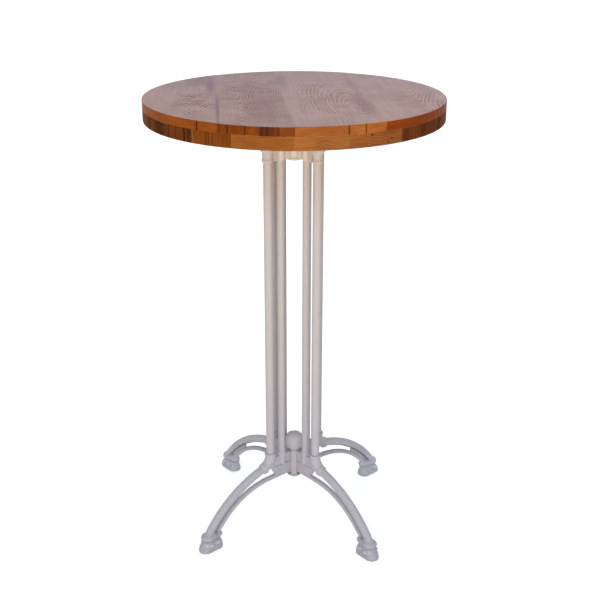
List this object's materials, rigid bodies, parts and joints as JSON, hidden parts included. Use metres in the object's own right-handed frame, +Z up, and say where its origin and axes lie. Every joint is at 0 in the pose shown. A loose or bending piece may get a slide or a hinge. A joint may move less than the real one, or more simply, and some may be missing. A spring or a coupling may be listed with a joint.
{
  "type": "pub table",
  "caption": "Tall round pub table with a plank top glued in crossed-seam layers, on a cast base of slim columns, domed hub and curved legs whose hoof feet stand on levelling glides.",
  "frame": {"origin": "on the floor, under the middle of the round top", "axes": "+Z up; +X to the right and +Y to the back as the picture shows the table"},
  "size_m": [0.7, 0.7, 1.12],
  "materials": {
    "upper_wood": "worn satin oil",
    "lower_wood": "worn satin oil",
    "painted_casting": "distressed off-white paint on cast iron",
    "painted_tube": "distressed off-white paint on steel tube",
    "plain_steel": "zinc plated",
    "glide_plastic": "matt nylon"
  },
  "bodies": {
    "table": {"upper_plank_1": "upper_wood", "upper_plank_2": "upper_wood", "upper_plank_3": "upper_wood", "upper_plank_4": "upper_wood", "lower_plank_1": "lower_wood", "lower_plank_2": "lower_wood", "lower_plank_3": "lower_wood", "lower_plank_4": "lower_wood", "lower_plank_5": "lower_wood", "lower_plank_6": "lower_wood", "leg_rear_right": "painted_casting", "bracket_rear_right": "painted_casting", "outer_column_rear_right": "painted_tube", "inner_column_rear_right": "painted_tube", "tie_rod_rear_right": "plain_steel", "leg_rear_left": "painted_casting", "bracket_rear_left": "painted_casting", "outer_column_rear_left": "painted_tube", "inner_column_rear_left": "painted_tube", "tie_rod_rear_left": "plain_steel", "leg_front_left": "painted_casting", "bracket_front_left": "painted_casting", "outer_column_front_left": "painted_tube", "inner_column_front_left": "painted_tube", "tie_rod_front_left": "plain_steel", "leg_front_right": "painted_casting", "bracket_front_right": "painted_casting", "outer_column_front_right": "painted_tube", "inner_column_front_right": "painted_tube", "tie_rod_front_right": "plain_steel", "base_hub": "painted_casting", "top_hub": "painted_casting", "dome_spacer": "painted_casting", "dome_cap": "painted_casting", "clamp_plate": "plain_steel", "base_hub_bolt": "plain_steel", "top_hub_bolt": "plain_steel", "tie_rod_nuts": "plain_steel", "tie_rod_washers": "plain_steel", "tabletop_screws": "plain_steel"},
    "glide_rear_right": {"glide_pad_rear_right": "glide_plastic", "glide_stud_rear_right": "plain_steel"},
    "glide_rear_left": {"glide_pad_rear_left": "glide_plastic", "glide_stud_rear_left": "plain_steel"},
    "glide_front_left": {"glide_pad_front_left": "glide_plastic", "glide_stud_front_left": "plain_steel"},
    "glide_front_right": {"glide_pad_front_right": "glide_plastic", "glide_stud_front_right": "plain_steel"}
  },
  "joints": [
    {"name": "glide_rear_right_level", "type": "slide", "parent": "table", "child": "glide_rear_right", "axis": [0, 0, -1], "range_m": [0, 0.01]},
    {"name": "glide_rear_left_level", "type": "slide", "parent": "table", "child": "glide_rear_left", "axis": [0, 0, -1], "range_m": [0, 0.01]},
    {"name": "glide_front_left_level", "type": "slide", "parent": "table", "child": "glide_front_left", "axis": [0, 0, -1], "range_m": [0, 0.01]},
    {"name": "glide_front_right_level", "type": "slide", "parent": "table", "child": "glide_front_right", "axis": [0, 0, -1], "range_m": [0, 0.01]}
  ]
}
